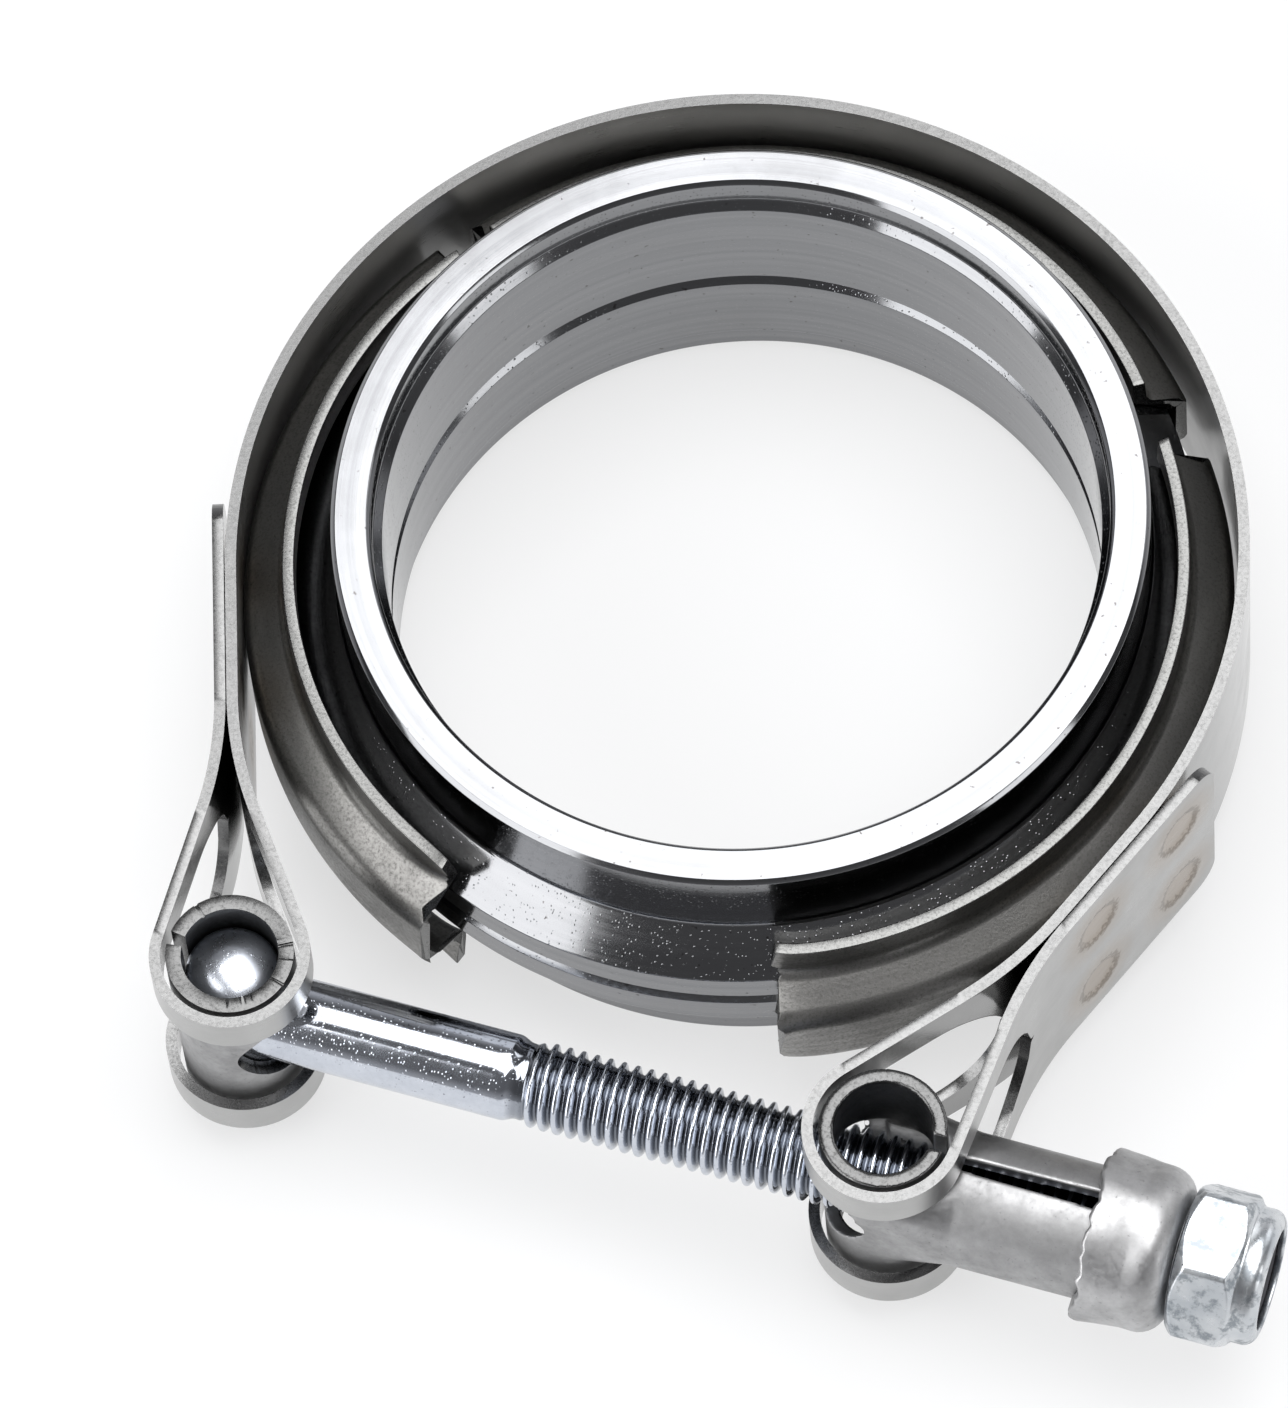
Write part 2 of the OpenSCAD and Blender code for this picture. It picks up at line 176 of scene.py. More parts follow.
def bake_modifiers(piece):
    """Turns what the modifiers make into the piece's own mesh."""
    depsgraph = bpy.context.evaluated_depsgraph_get()
    made = bpy.data.meshes.new_from_object(piece.evaluated_get(depsgraph))
    piece.modifiers.clear()
    old = piece.data
    piece.data = made
    made.name = piece.name
    bpy.data.meshes.remove(old)


def grid_faces(rows, columns, wrap_rows=False, wrap_columns=False):
    faces = []
    for i in range(rows if wrap_rows else rows - 1):
        for j in range(columns if wrap_columns else columns - 1):
            a = i * columns + j
            b = i * columns + (j + 1) % columns
            c = ((i + 1) % rows) * columns + (j + 1) % columns
            d = ((i + 1) % rows) * columns + j
            faces.append((a, b, c, d))
    return faces


def round_corner(a, b, c, radius, steps=3):
    """Points of the arc that rounds the corner b of the path a, b, c."""
    a, b, c = (np.array(p[:2], dtype=float) for p in (a, b, c))
    to_a = (a - b) / np.linalg.norm(a - b)
    to_c = (c - b) / np.linalg.norm(c - b)
    half = math.acos(np.clip(to_a @ to_c, -1, 1)) / 2
    middle = (to_a + to_c) / np.linalg.norm(to_a + to_c)
    centre = b + middle * radius / math.sin(half)
    start = b + to_a * radius / math.tan(half) - centre
    end = b + to_c * radius / math.tan(half) - centre
    first = math.atan2(start[1], start[0])
    sweep = (math.atan2(end[1], end[0]) - first + 3 * math.pi) % (2 * math.pi) - math.pi
    return [
        centre + radius * np.array([math.cos(first + sweep * i / steps), math.sin(first + sweep * i / steps)])
        for i in range(steps + 1)
    ]


def rounded(points, steps=3):
    """Closed outline with each corner rounded by its own radius, the third number of its point."""
    outline = []
    count = len(points)
    for i, point in enumerate(points):
        if point[2] == 0:
            outline.append(np.array(point[:2], dtype=float))
        else:
            outline += round_corner(points[i - 1], point, points[(i + 1) % count], point[2], steps)
    return np.array(outline)


def split_column(low, high, top, half_rows):
    """Heights of a column of points with a gap in its middle: from -high to -low, and from low to top."""
    steps = half_rows - 1
    below = [-high + (high - low) * k / steps for k in range(half_rows)]
    above = [low + (top - low) * k / steps for k in range(half_rows)]
    return below + above


def split_faces(columns, half_rows):
    """Faces between such columns, which leave the gap open."""
    rows = 2 * half_rows
    faces = []
    for i in range(columns - 1):
        for k in range(rows - 1):
            if k != half_rows - 1:
                a = i * rows + k
                faces.append((a, a + 1, a + rows + 1, a + rows))
    return faces


def lathe(name, outline, materials, segments, along="z", centre=(0, 0, 0), bend=None):
    """Turns a closed outline of (radius, height) points about an axis. bend may move each point."""
    outline = np.asarray(outline)
    verts = []
    for angle in np.arange(segments) * 2 * math.pi / segments:
        for r, h in outline:
            if bend is not None:
                r, h = bend(r, h, angle)
            if along == "z":
                verts.append((r * math.cos(angle), r * math.sin(angle), h))
            else:
                verts.append((h, r * math.cos(angle), r * math.sin(angle)))
    verts = np.array(verts) + np.array(centre)
    return add_piece(name, verts, grid_faces(segments, len(outline), True, True), materials)


def keep_flats_flat(piece):
    """Lets the large faces set the shading, so that small rounded edges don't bend it."""
    add_modifier(piece, "WEIGHTED_NORMAL", mode="FACE_AREA", weight=50, keep_sharp=False)


# Path of the strip

def half_lines(reach_x):
    """The right half of the strip as (length, turn in degrees), from the rear's middle to the tail."""
    reach = math.hypot(reach_x, BOLT_REACH)
    tangent_len = math.sqrt(reach ** 2 - TANGENT_R ** 2)
    tangent_at = math.degrees(math.atan2(-BOLT_REACH, reach_x) + math.acos(TANGENT_R / reach))
    bend_y = LEG_BEND_R + LAYER_MID
    leg_turn = math.atan2(PINCH, bend_y) - math.acos((LEG_BEND_R + LOOP_MID_R) / math.hypot(PINCH, bend_y))
    straight = PINCH * math.cos(leg_turn) - bend_y * math.sin(leg_turn)
    leg = math.degrees(leg_turn)
    ring_r = BAND_R + BAND_T / 2
    lines = [
        (math.radians(90 - tangent_at) * ring_r, tangent_at - 90),
        (tangent_len - PINCH, 0),
        (leg_turn * LEG_BEND_R, -leg),
        (straight, 0),
        (math.radians(180 + 2 * leg) * LOOP_MID_R, 180 + 2 * leg),
        (straight, 0),
        (leg_turn * LEG_BEND_R, -leg),
        (TAIL_LEN, 0),
    ]
    return lines, tangent_len, math.radians(tangent_at)


def walk(lines, s):
    """Point and heading at distance s along the strip."""
    x, y, heading = 0.0, BAND_R + BAND_T / 2, 0.0
    for length, turn in lines:
        part = min(s, length)
        if turn == 0:
            x += part * math.cos(heading)
            y += part * math.sin(heading)
        else:
            change = math.radians(turn) * part / length
            radius = length / math.radians(turn)
            x += radius * (math.sin(heading + change) - math.sin(heading))
            y += radius * (math.cos(heading) - math.cos(heading + change))
            heading += change
        s -= length
        if s <= 0:
            break
    return x, y, heading


def loop_frame(reach_x):
    """A loop's own axes: outwards, along the leg towards the ring, and the barrel's place."""
    _, tangent_len, tangent_at = half_lines(reach_x)
    out = np.array([math.cos(tangent_at), math.sin(tangent_at)])
    along = np.array([-math.sin(tangent_at), math.cos(tangent_at)])
    return out, along, out * TANGENT_R - along * tangent_len


def weld_spots():
    """Spot welds of a tail: (distance along the leg from the barrel, height from the middle)."""
    places = (PINCH + WELD_D * 0.7, PINCH + TAIL_LEN - WELD_D)
    return [(x, z) for x in places for z in (-BAND_W / 4, BAND_W / 4)]


def weld_places():
    """Middles of all the welds on the tails' outer faces, in metres."""
    places = []
    for side, reach_x in ((1, RIGHT_X), (-1, -LEFT_X)):
        out, along, axis = loop_frame(reach_x)
        for x, z in weld_spots():
            spot = axis + along * x + out * (LAYER_MID + BAND_T / 2)
            places.append(Vector((side * spot[0], spot[1] + BAND_Y, CLAMP_Z + z)) * MM)
    return places


# Materials

class Nodes:
    """A node tree built up node by node."""

    def __init__(self, tree):
        self.tree = tree

    def node(self, kind, values=None, **settings):
        node = self.tree.nodes.new(kind)
        for key, value in settings.items():
            setattr(node, key, value)
        for key, value in (values or {}).items():
            self.put(value, node.inputs[key])
        return node

    def put(self, value, socket):
        if isinstance(value, bpy.types.NodeSocket):
            self.tree.links.new(value, socket)
        else:
            socket.default_value = value

    def math(self, operation, a, b=0.0):
        return self.node("ShaderNodeMath", {0: a, 1: b}, operation=operation).outputs[0]

    def span(self, value, low, high, to_low, to_high):
        """Takes low..high to to_low..to_high, and holds the ends beyond."""
        return self.node("ShaderNodeMapRange", {
            "Value": value, "From Min": low, "From Max": high, "To Min": to_low, "To Max": to_high
        }).outputs[0]


class Finish(Nodes):
    """A finish for one kind of surface."""

    def __init__(self, name, metallic=1.0, anisotropic=0.0):
        self.material = bpy.data.materials.new(name)
        self.material.use_nodes = True
        super().__init__(self.material.node_tree)
        self.shader = self.tree.nodes["Principled BSDF"]
        self.shader.inputs["Metallic"].default_value = metallic
        self.shader.inputs["Anisotropic"].default_value = anisotropic
        self.normal = None

    def place(self):
        return self.node("ShaderNodeTexCoord").outputs["Object"]

    def parts(self):
        """X, Y and Z of the place."""
        return self.node("ShaderNodeSeparateXYZ", {0: self.place()}).outputs

    def root_of_squares(self, a, b):
        return self.math("SQRT", self.math("ADD", self.math("MULTIPLY", a, a), self.math("MULTIPLY", b, b)))

    def stretched(self, scale):
        """Object coordinates scaled along each axis."""
        return self.node("ShaderNodeMapping", {"Vector": self.place(), "Scale": scale}).outputs[0]

    def turned(self, around, across):
        """Coordinates that run round the Z axis slowly and across the turning marks quickly."""
        x, y, z = self.parts()
        radius = self.root_of_squares(x, y)
        angle = self.math("ARCTAN2", y, x)
        return self.node("ShaderNodeCombineXYZ", {
            0: self.math("MULTIPLY", self.math("COSINE", angle), around),
            1: self.math("MULTIPLY", self.math("SINE", angle), around),
            2: self.math("MULTIPLY", self.math("ADD", radius, self.math("MULTIPLY", z, 1.3)), across),
        }).outputs[0]

    def noise(self, vector, scale, detail=4.0, rough=0.6):
        return self.node("ShaderNodeTexNoise", {
            "Vector": vector, "Scale": scale, "Detail": detail, "Roughness": rough
        }).outputs["Fac"]

    def mix(self, factor, a, b):
        node = self.node("ShaderNodeMix", data_type="RGBA")
        self.put(factor, node.inputs[0])
        for value, socket in ((a, node.inputs[6]), (b, node.inputs[7])):
            self.put((*value, 1) if isinstance(value, tuple) else value, socket)
        return node.outputs[2]

    def nearest(self, places):
        """Distance in millimetres to the nearest of some places."""
        near = None
        for place in places:
            away = self.node(
                "ShaderNodeVectorMath", {0: self.place(), 1: place}, operation="DISTANCE"
            ).outputs["Value"]
            near = away if near is None else self.math("MINIMUM", near, away)
        return self.math("DIVIDE", near, MM)

    def dimples(self, scale, size, share):
        """Small round dimples. size is a part of a cell, and share the part of the cells that have one."""
        cells = self.node("ShaderNodeTexVoronoi", {"Vector": self.place(), "Scale": scale})
        draw = self.node("ShaderNodeSeparateColor", {0: cells.outputs["Color"]}).outputs[0]
        chosen = self.span(draw, share, share + 0.02, 1.0, 0.0)
        return self.math("MULTIPLY", self.span(cells.outputs["Distance"], 0.0, size, 1.0, 0.0), chosen)

    def bump(self, height, strength, distance):
        """Adds relief of a height texture. distance is its depth in millimetres."""
        values = {"Height": height, "Strength": strength, "Distance": distance * MM}
        if self.normal is not None:
            values["Normal"] = self.normal
        self.normal = self.node("ShaderNodeBump", values).outputs[0]

    def finish(self, colour, roughness):
        self.put(colour, self.shader.inputs["Base Color"])
        self.put(roughness, self.shader.inputs["Roughness"])
        self.put(self.normal, self.shader.inputs["Normal"])
        return self.material


def shaded(tone, share):
    """The tone made darker, or paler with a share over 1."""
    return tuple(share * level for level in tone)


def turned_steel():
    """Bright steel straight from the lathe: grain round the axis, small pits and stains."""
    f = Finish("turned_steel", anisotropic=0.3)
    tangent = f.node("ShaderNodeTangent", direction_type="RADIAL", axis="Z")
    f.put(tangent.outputs[0], f.shader.inputs["Tangent"])
    grain = f.noise(f.turned(0.6, 9000), 1.0, 3.0, 0.7)
    broad = f.noise(f.turned(0.25, 900), 1.0, 3.0, 0.6)
    stain = f.noise(f.place(), 90, 5.0, 0.65)
    pits = f.noise(f.place(), 1500, 2.0, 0.5)
    pit = f.span(pits, 0.70, 0.76, 0.0, 1.0)
    tone = f.mix(f.span(broad, 0.3, 0.7, 0.0, 1.0), (0.205, 0.209, 0.218), (0.245, 0.248, 0.256))
    tone = f.mix(f.span(stain, 0.5, 0.8, 0.0, 0.3), tone, (0.19, 0.19, 0.192))
    tone = f.mix(pit, tone, (0.10, 0.095, 0.095))
    f.bump(grain, 0.12, 0.005)
    f.bump(broad, 0.03, 0.02)
    # The dimples stay off the faced end
    top = LOWER_H + UPPER_H
    below_rim = f.span(f.parts()[2], (top - 0.6) * MM, (top - 0.3) * MM, 1.0, 0.0)
    f.bump(f.math("MULTIPLY", f.dimples(3300, 0.32, 0.4), below_rim), 0.7, 0.022)
    rough = f.math("ADD", f.span(grain, 0.3, 0.7, 0.07, 0.13), f.span(stain, 0.4, 0.7, 0.0, 0.06))
    return f.finish(tone, rough)


def strip_steel(name, share, rough_add):
    """Satin stainless strip, with rolling lines, a straw tint round the welds and a ring of painted shade at
    their edges. share darkens it, which paints shade on the inner face.
    """
    f = Finish(name, anisotropic=0.3)
    lines = f.noise(f.stretched((300, 300, 9000)), 1.0, 3.0, 0.6)
    cloud = f.noise(f.place(), 120, 4.0, 0.6)
    fine = f.noise(f.place(), 2600, 2.0, 0.5)
    pale = shaded((0.44, 0.44, 0.4356), share)
    dull = shaded((0.39, 0.39, 0.3861), share)
    tone = f.mix(f.span(cloud, 0.35, 0.7, 0.0, 1.0), pale, dull)
    near = f.math("ADD", f.nearest(weld_places()), f.span(fine, 0.3, 0.7, -0.35, 0.35))
    rim = f.math("ABSOLUTE", f.math("SUBTRACT", near, 2.45))
    tone = f.mix(f.span(near, 2.0, 5.5, 0.7, 0.0), tone, (0.37, 0.31, 0.255))
    # Painted shade: a dark ring at each weld's edge stands in for the shade of the dent's rim; the straw tint
    # above is real heat tint
    tone = f.mix(f.span(rim, 0.1, 0.5, 0.7, 0.0), tone, (0.16, 0.135, 0.11))
    f.bump(lines, 0.25, 0.01)
    f.bump(fine, 0.2, 0.01)
    stain = f.span(cloud, 0.4, 0.7, rough_add, rough_add + 0.06)
    rough = f.math("ADD", f.span(lines, 0.3, 0.7, 0.26, 0.34), stain)
    return f.finish(tone, rough)


def sheared_edge(name, tone, flecks):
    """Cut edge of a sheet: bright, finely torn. flecks is how dark the torn places are."""
    f = Finish(name)
    torn = f.noise(f.place(), 3600, 3.0, 0.7)
    speck = f.span(torn, 0.5, 0.68, 0.0, flecks)
    dark = shaded(tone, 0.3)
    f.bump(torn, 0.1 + 0.5 * flecks, 0.02)
    return f.finish(f.mix(speck, tone, dark), f.span(torn, 0.3, 0.7, 0.17, 0.32))


def channel_steel():
    """Pressed stainless sheet, dull and warm grey, with draw marks and scuffs."""
    f = Finish("channel_steel", anisotropic=0.2)
    grain = f.noise(f.place(), 3600, 3.0, 0.7)
    draw = f.noise(f.turned(1.2, 1500), 1.0, 3.0, 0.6)
    cloud = f.noise(f.place(), 150, 5.0, 0.65)
    tone = f.mix(f.span(cloud, 0.35, 0.68, 0.0, 1.0), (0.27, 0.266, 0.258), (0.185, 0.182, 0.176))
    tone = f.mix(f.span(draw, 0.45, 0.7, 0.0, 0.6), tone, (0.33, 0.325, 0.312))
    tone = f.mix(f.span(grain, 0.46, 0.74, 0.0, 0.75), tone, (0.09, 0.088, 0.083))
    f.bump(grain, 0.7, 0.02)
    f.bump(draw, 0.7, 0.04)
    rough = f.math("ADD", f.span(grain, 0.3, 0.7, 0.30, 0.42), f.span(cloud, 0.4, 0.7, 0.0, 0.1))
    return f.finish(tone, rough)


def rolled_steel(name, share):
    """Satin stainless sheet of the barrels and the ferrule. share darkens it, to paint the shade in the dark
    bores.
    """
    f = Finish(name, anisotropic=0.2)
    grain = f.noise(f.place(), 2100, 3.0, 0.6)
    cloud = f.noise(f.place(), 260, 5.0, 0.65)
    patch = f.noise(f.place(), 700, 4.0, 0.7)
    pale = shaded((0.40, 0.40, 0.405), share)
    dull = shaded((0.27, 0.27, 0.273), share)
    pit = shaded((0.12, 0.12, 0.12), share)
    tone = f.mix(f.span(cloud, 0.35, 0.68, 0.0, 1.0), pale, dull)
    tone = f.mix(f.span(patch, 0.55, 0.72, 0.0, 0.45), tone, dull)
    tone = f.mix(f.span(grain, 0.64, 0.74, 0.0, 0.5), tone, pit)
    f.bump(grain, 0.35, 0.015)
    f.bump(cloud, 0.2, 0.05)
    rough = f.math("ADD", f.span(grain, 0.3, 0.7, 0.34, 0.46), f.span(cloud, 0.4, 0.7, 0.0, 0.12))
    return f.finish(tone, rough)


def zinc_plate(name, rough):
    """Bluish bright zinc, with tiny dimples, rubbed places and painted shade in the roots of the thread.
    rough is its least roughness.
    """
    f = Finish(name)
    crystal = f.noise(f.place(), 2800, 2.0, 0.6)
    cloud = f.noise(f.place(), 330, 5.0, 0.7)
    tone = f.mix(f.span(cloud, 0.35, 0.68, 0.0, 1.0), (0.60, 0.63, 0.69), (0.50, 0.53, 0.59))
    tone = f.mix(f.span(crystal, 0.66, 0.72, 0.0, 0.8), tone, (0.2, 0.21, 0.24))
    # Painted shade: the roots of the thread are darkened
    y, z = f.parts()[1:]
    radius = f.root_of_squares(f.math("SUBTRACT", y, BOLT_Y * MM), f.math("SUBTRACT", z, CLAMP_Z * MM))
    tone = f.mix(f.span(radius, 3.3 * MM, 3.75 * MM, 0.85, 0.0), tone, (0.09, 0.10, 0.12))
    f.bump(crystal, 0.12, 0.008)
    f.bump(f.dimples(3200, 0.30, 0.6), 0.8, 0.022)
    return f.finish(tone, f.span(cloud, 0.35, 0.75, rough, rough + 0.08))


def nut_zinc():
    """Zinc of the nut: pale, with grey blotches and scuffs from the spanner."""
    f = Finish("nut_zinc")
    blotch = f.noise(f.place(), 520, 5.0, 0.7)
    cloud = f.noise(f.place(), 200, 3.0, 0.6)
    fine = f.noise(f.place(), 3200, 2.0, 0.6)
    tone = f.mix(f.span(cloud, 0.4, 0.65, 0.0, 1.0), (0.62, 0.64, 0.66), (0.46, 0.49, 0.52))
    tone = f.mix(f.span(blotch, 0.50, 0.60, 0.0, 0.85), tone, (0.24, 0.265, 0.29))
    f.bump(blotch, 0.35, 0.08)
    f.bump(fine, 0.3, 0.015)
    return f.finish(tone, f.span(blotch, 0.35, 0.7, 0.26, 0.44))


def locking_ring():
    """Dark, slightly shiny ring that grips the thread."""
    f = Finish("locking_ring", metallic=0.0)
    grain = f.noise(f.place(), 1500, 3.0, 0.6)
    f.bump(grain, 0.3, 0.02)
    return f.finish(f.mix(grain, (0.03, 0.03, 0.035), (0.07, 0.07, 0.08)), f.span(grain, 0.3, 0.7, 0.4, 0.6))


TURNED = turned_steel()
STRIP = strip_steel("strip_steel", 1.0, 0.0)
# Painted shade: the strip's inner face, between the strap and the channels, is a darker copy; it is also
# smoother
STRIP_INSIDE_SHADE = strip_steel("strip_inside_painted_shade", 0.68, -0.18)
STRIP_EDGE = sheared_edge("strip_edge", (0.175, 0.175, 0.175), 0.15)
CHANNEL = channel_steel()
CHANNEL_EDGE = sheared_edge("channel_edge", (0.16, 0.16, 0.157), 0.5)
ROLLED = rolled_steel("rolled_steel", 1.0)
# Painted shade: a much darker copy of the rolled steel for the insides of the barrels
ROLLED_INSIDE_SHADE = rolled_steel("rolled_inside_painted_shade", 0.17)
CRIMPED = rolled_steel("crimped_steel", 1.3)
ROLLED_EDGE = sheared_edge("rolled_edge", (0.115, 0.115, 0.115), 0.5)
ZINC = zinc_plate("zinc_plate", 0.08)
HEAD_ZINC = zinc_plate("head_zinc", 0.26)
NUT_ZINC = nut_zinc()
RING = locking_ring()


# Flanges

def make_flanges():
    joint = LOWER_H
    top = joint + UPPER_H
    low = joint - SPIGOT_H
    step = SOCKET_R - BORE_R
    rise = (RIM_R - NECK_R) * math.tan(math.radians(V_ANGLE))
    upper = lathe("flange_upper", rounded([
        (BORE_R, low + JOINT_CHAMFER, 0.1),
        (BORE_R + JOINT_CHAMFER, low, 0.1),
        (SPIGOT_R, low, 0.15),
        (SPIGOT_R, joint, 0),
        (RIM_R - JOINT_CHAMFER, joint, 0.15),
        (RIM_R, joint + JOINT_CHAMFER, 0.15),
        (RIM_R, joint + RIM_H, 0.25),
        (NECK_R, joint + RIM_H + rise, 0.7),
        (NECK_R, top - EDGE_CHAMFER, 0.12),
        (NECK_R - EDGE_CHAMFER, top, 0.12),
        (SOCKET_R + EDGE_CHAMFER, top, 0.12),
        (SOCKET_R, top - EDGE_CHAMFER, 0.12),
        (SOCKET_R, top - SOCKET_DEPTH, 0.3),
        (BORE_R, top - SOCKET_DEPTH - step, 0.2),
    ]), [TURNED], 360)
    floor_z = joint - SPIGOT_H - SPIGOT_GAP
    recess = SPIGOT_R + SPIGOT_GAP
    lower = lathe("flange_lower", rounded([
        (SOCKET_R, 0, 0.12),
        (NECK_R - EDGE_CHAMFER, 0, 0.12),
        (NECK_R, EDGE_CHAMFER, 0.12),
        (NECK_R, joint - RIM_H - rise, 0.7),
        (RIM_R, joint - RIM_H, 0.25),
        (RIM_R, joint - JOINT_CHAMFER, 0.15),
        (RIM_R - JOINT_CHAMFER, joint, 0.15),
        (recess, joint, 0),
        (recess, floor_z, 0.05),
        (BORE_R + JOINT_CHAMFER, floor_z, 0.1),
        (BORE_R, floor_z - JOINT_CHAMFER, 0.1),
        (BORE_R, SOCKET_DEPTH + step, 0.2),
        (SOCKET_R, SOCKET_DEPTH, 0.3),
    ]), [TURNED], 360)
    for piece, node in ((upper, "upper_flange"), (lower, "lower_flange")):
        keep_flats_flat(piece)
        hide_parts(node)
        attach(piece, "clamp")


# Band

def band_stations(reach_x):
    """Stations of one half: (x, y, heading, distance along the loop's axis, distance to the tail's end)."""
    lines = half_lines(reach_x)[0]
    ends = np.cumsum([0.0] + [length for length, _ in lines])
    fine = []
    for i, (length, turn) in enumerate(lines):
        step = {0: 1.3, 1: 0.6, 2: 0.6, 3: 0.45, 4: 0.55, 5: 0.45, 6: 0.6, 7: 0.4}[i]
        count = max(2, round(length / step))
        fine += list(ends[i] + length * np.arange(count) / count)
    fine += list(ends[-1] - TAIL_CORNER_R * (1 - np.cos(np.linspace(0, math.pi / 2, 9))))
    fine = sorted(set(np.round(fine, 5)))
    out, along, axis = loop_frame(reach_x)
    rows = []
    for s in fine:
        x, y, heading = walk(lines, s)
        reach = (np.array([x, y]) - axis) @ along
        past_ring = s > ends[1]
        rows.append((x, y, heading, reach if past_ring else 99.0, ends[-1] - s, s > ends[6]))
    return rows


def weld_dip(reach, z):
    """How far a spot weld draws in the strip at a point of a tail, with a low ridge round it."""
    near = min(math.hypot(reach - weld_x, z - weld_z) for weld_x, weld_z in weld_spots())
    if near >= WELD_D:
        return 0.0
    ridge = 0.05 * math.exp(-((near - 2.9) / 0.5) ** 2)
    return 0.2 * float(smoothstep((2.8 - near) / 1.1)) - ridge


def make_band():
    right = band_stations(RIGHT_X)
    left = [(-x, y, -heading, *others) for x, y, heading, *others in band_stations(-LEFT_X)]
    stations = left[:0:-1] + right
    half_rows = 28
    slot_end = SLOT_REACH - SLOT_H / 2
    verts = []
    for x, y, heading, reach, to_end, tail in stations:
        if reach <= slot_end:
            low = SLOT_H / 2
        elif reach < SLOT_REACH:
            low = math.sqrt((SLOT_H / 2) ** 2 - (reach - slot_end) ** 2)
        else:
            low = 0.0
        high = BAND_W / 2
        if to_end < TAIL_CORNER_R:
            high -= TAIL_CORNER_R - math.sqrt(max(0, TAIL_CORNER_R ** 2 - (TAIL_CORNER_R - to_end) ** 2))
        normal = np.array([-math.sin(heading), math.cos(heading)])
        # A dent goes in from the tail's outer face, and shows less on the layer under it
        side = (1.0 if tail else -0.35) * (1 if x > 0 else -1)
        for z in split_column(low, high, high, half_rows):
            point = np.array([x, y]) + normal * weld_dip(reach, z) * side
            verts.append((point[0], point[1] + BAND_Y, z + CLAMP_Z))
    faces = split_faces(len(stations), half_rows)
    strap = add_piece("strap", verts, faces, [STRIP, STRIP_EDGE, STRIP_INSIDE_SHADE])
    # The solidified shell takes the darker copy of the strip: painted shade on the strap's inner face
    add_modifier(strap, "SOLIDIFY", thickness=BAND_T * MM, offset=0, use_even_offset=True,
                 material_offset=2, material_offset_rim=1)
    add_bevel(strap, 0.24, 3, 50)
    keep_flats_flat(strap)
    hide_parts("band_strap")
    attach(strap, "clamp")


# Channels

def channel_outline():
    web_in = RIM_R + WEB_GAP
    web_out = web_in + SHEET_T
    lip_in = NECK_R + LIP_GAP
    lip_out = lip_in + SHEET_T
    slope = math.tan(math.radians(V_ANGLE))
    half = RIM_H - WEB_GAP * slope
    skin = SHEET_T / math.cos(math.radians(V_ANGLE))
    outer = BEND_R + SHEET_T
    upper = [
        (web_out, half + skin - SHEET_T * slope, outer + 0.8),
        (lip_out, half + skin + (web_in - lip_out) * slope, BEND_R + 0.9),
        (lip_out, CHANNEL_W / 2, 0.12),
        (lip_in, CHANNEL_W / 2, 0.12),
        (lip_in, half + (web_in - lip_in) * slope, outer + 0.9),
        (web_in, half, BEND_R + 0.8),
    ]
    return rounded(upper + [(r, -z, radius) for r, z, radius in reversed(upper)], 5)


def make_channel(name, node, middle, flare):
    """One V channel. flare is how far its two ends are bent about by the press, in millimetres."""
    outline = channel_outline()
    shift = BAND_R - CHANNEL_SEAT - (RIM_R + WEB_GAP + SHEET_T)
    steps = 150
    turn = math.radians(middle)
    centre = np.array([shift * math.cos(turn), BAND_Y + shift * math.sin(turn), CLAMP_Z])
    verts = []
    for i in range(steps + 1):
        angle = math.radians(middle + CHANNEL_ARC * (i / steps - 0.5))
        from_end = min(i, steps - i) / steps * CHANNEL_ARC
        end = 0 if i < steps / 2 else 1
        bent = flare[end] * math.exp(-from_end / 2.2)
        for r, z in outline:
            wave = bent * math.sin(z * 0.55 + end * 1.7)
            reach = (r - NECK_R) / (RIM_R - NECK_R)
            lift = bent * 0.6 * reach * (1 if z > 0 else -0.7)
            # The sheared ends are a little torn: they run out further at some heights than at others
            torn = 0.35 * math.sin(1.9 * z + 2.0 * end) + 0.22 * math.sin(4.3 * z + r)
            torn += 0.12 * math.sin(9.7 * z)
            tear = math.radians(torn * 1.2) * math.exp(-from_end / 1.2) * (1 if end else -1)
            verts.append(((r + wave) * math.cos(angle + tear), (r + wave) * math.sin(angle + tear), z + lift))
    verts = np.array(verts) + centre
    count = len(outline)
    faces = grid_faces(steps + 1, count, False, True)
    top = CHANNEL_W / 2 - 0.06
    edge_row = [int(abs(outline[j][1] + outline[(j + 1) % count][1]) / 2 > top) for j in range(count)]
    kinds = edge_row * steps + [1, 1]
    faces.append(tuple(range(count)))
    faces.append(tuple(steps * count + j for j in reversed(range(count))))
    piece = add_piece(name, verts, faces, [CHANNEL, CHANNEL_EDGE], kinds)
    add_bevel(piece, 0.08, 2, 60)
    keep_flats_flat(piece)
    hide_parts(node)
    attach(piece, "clamp")


# Barrel and bolt

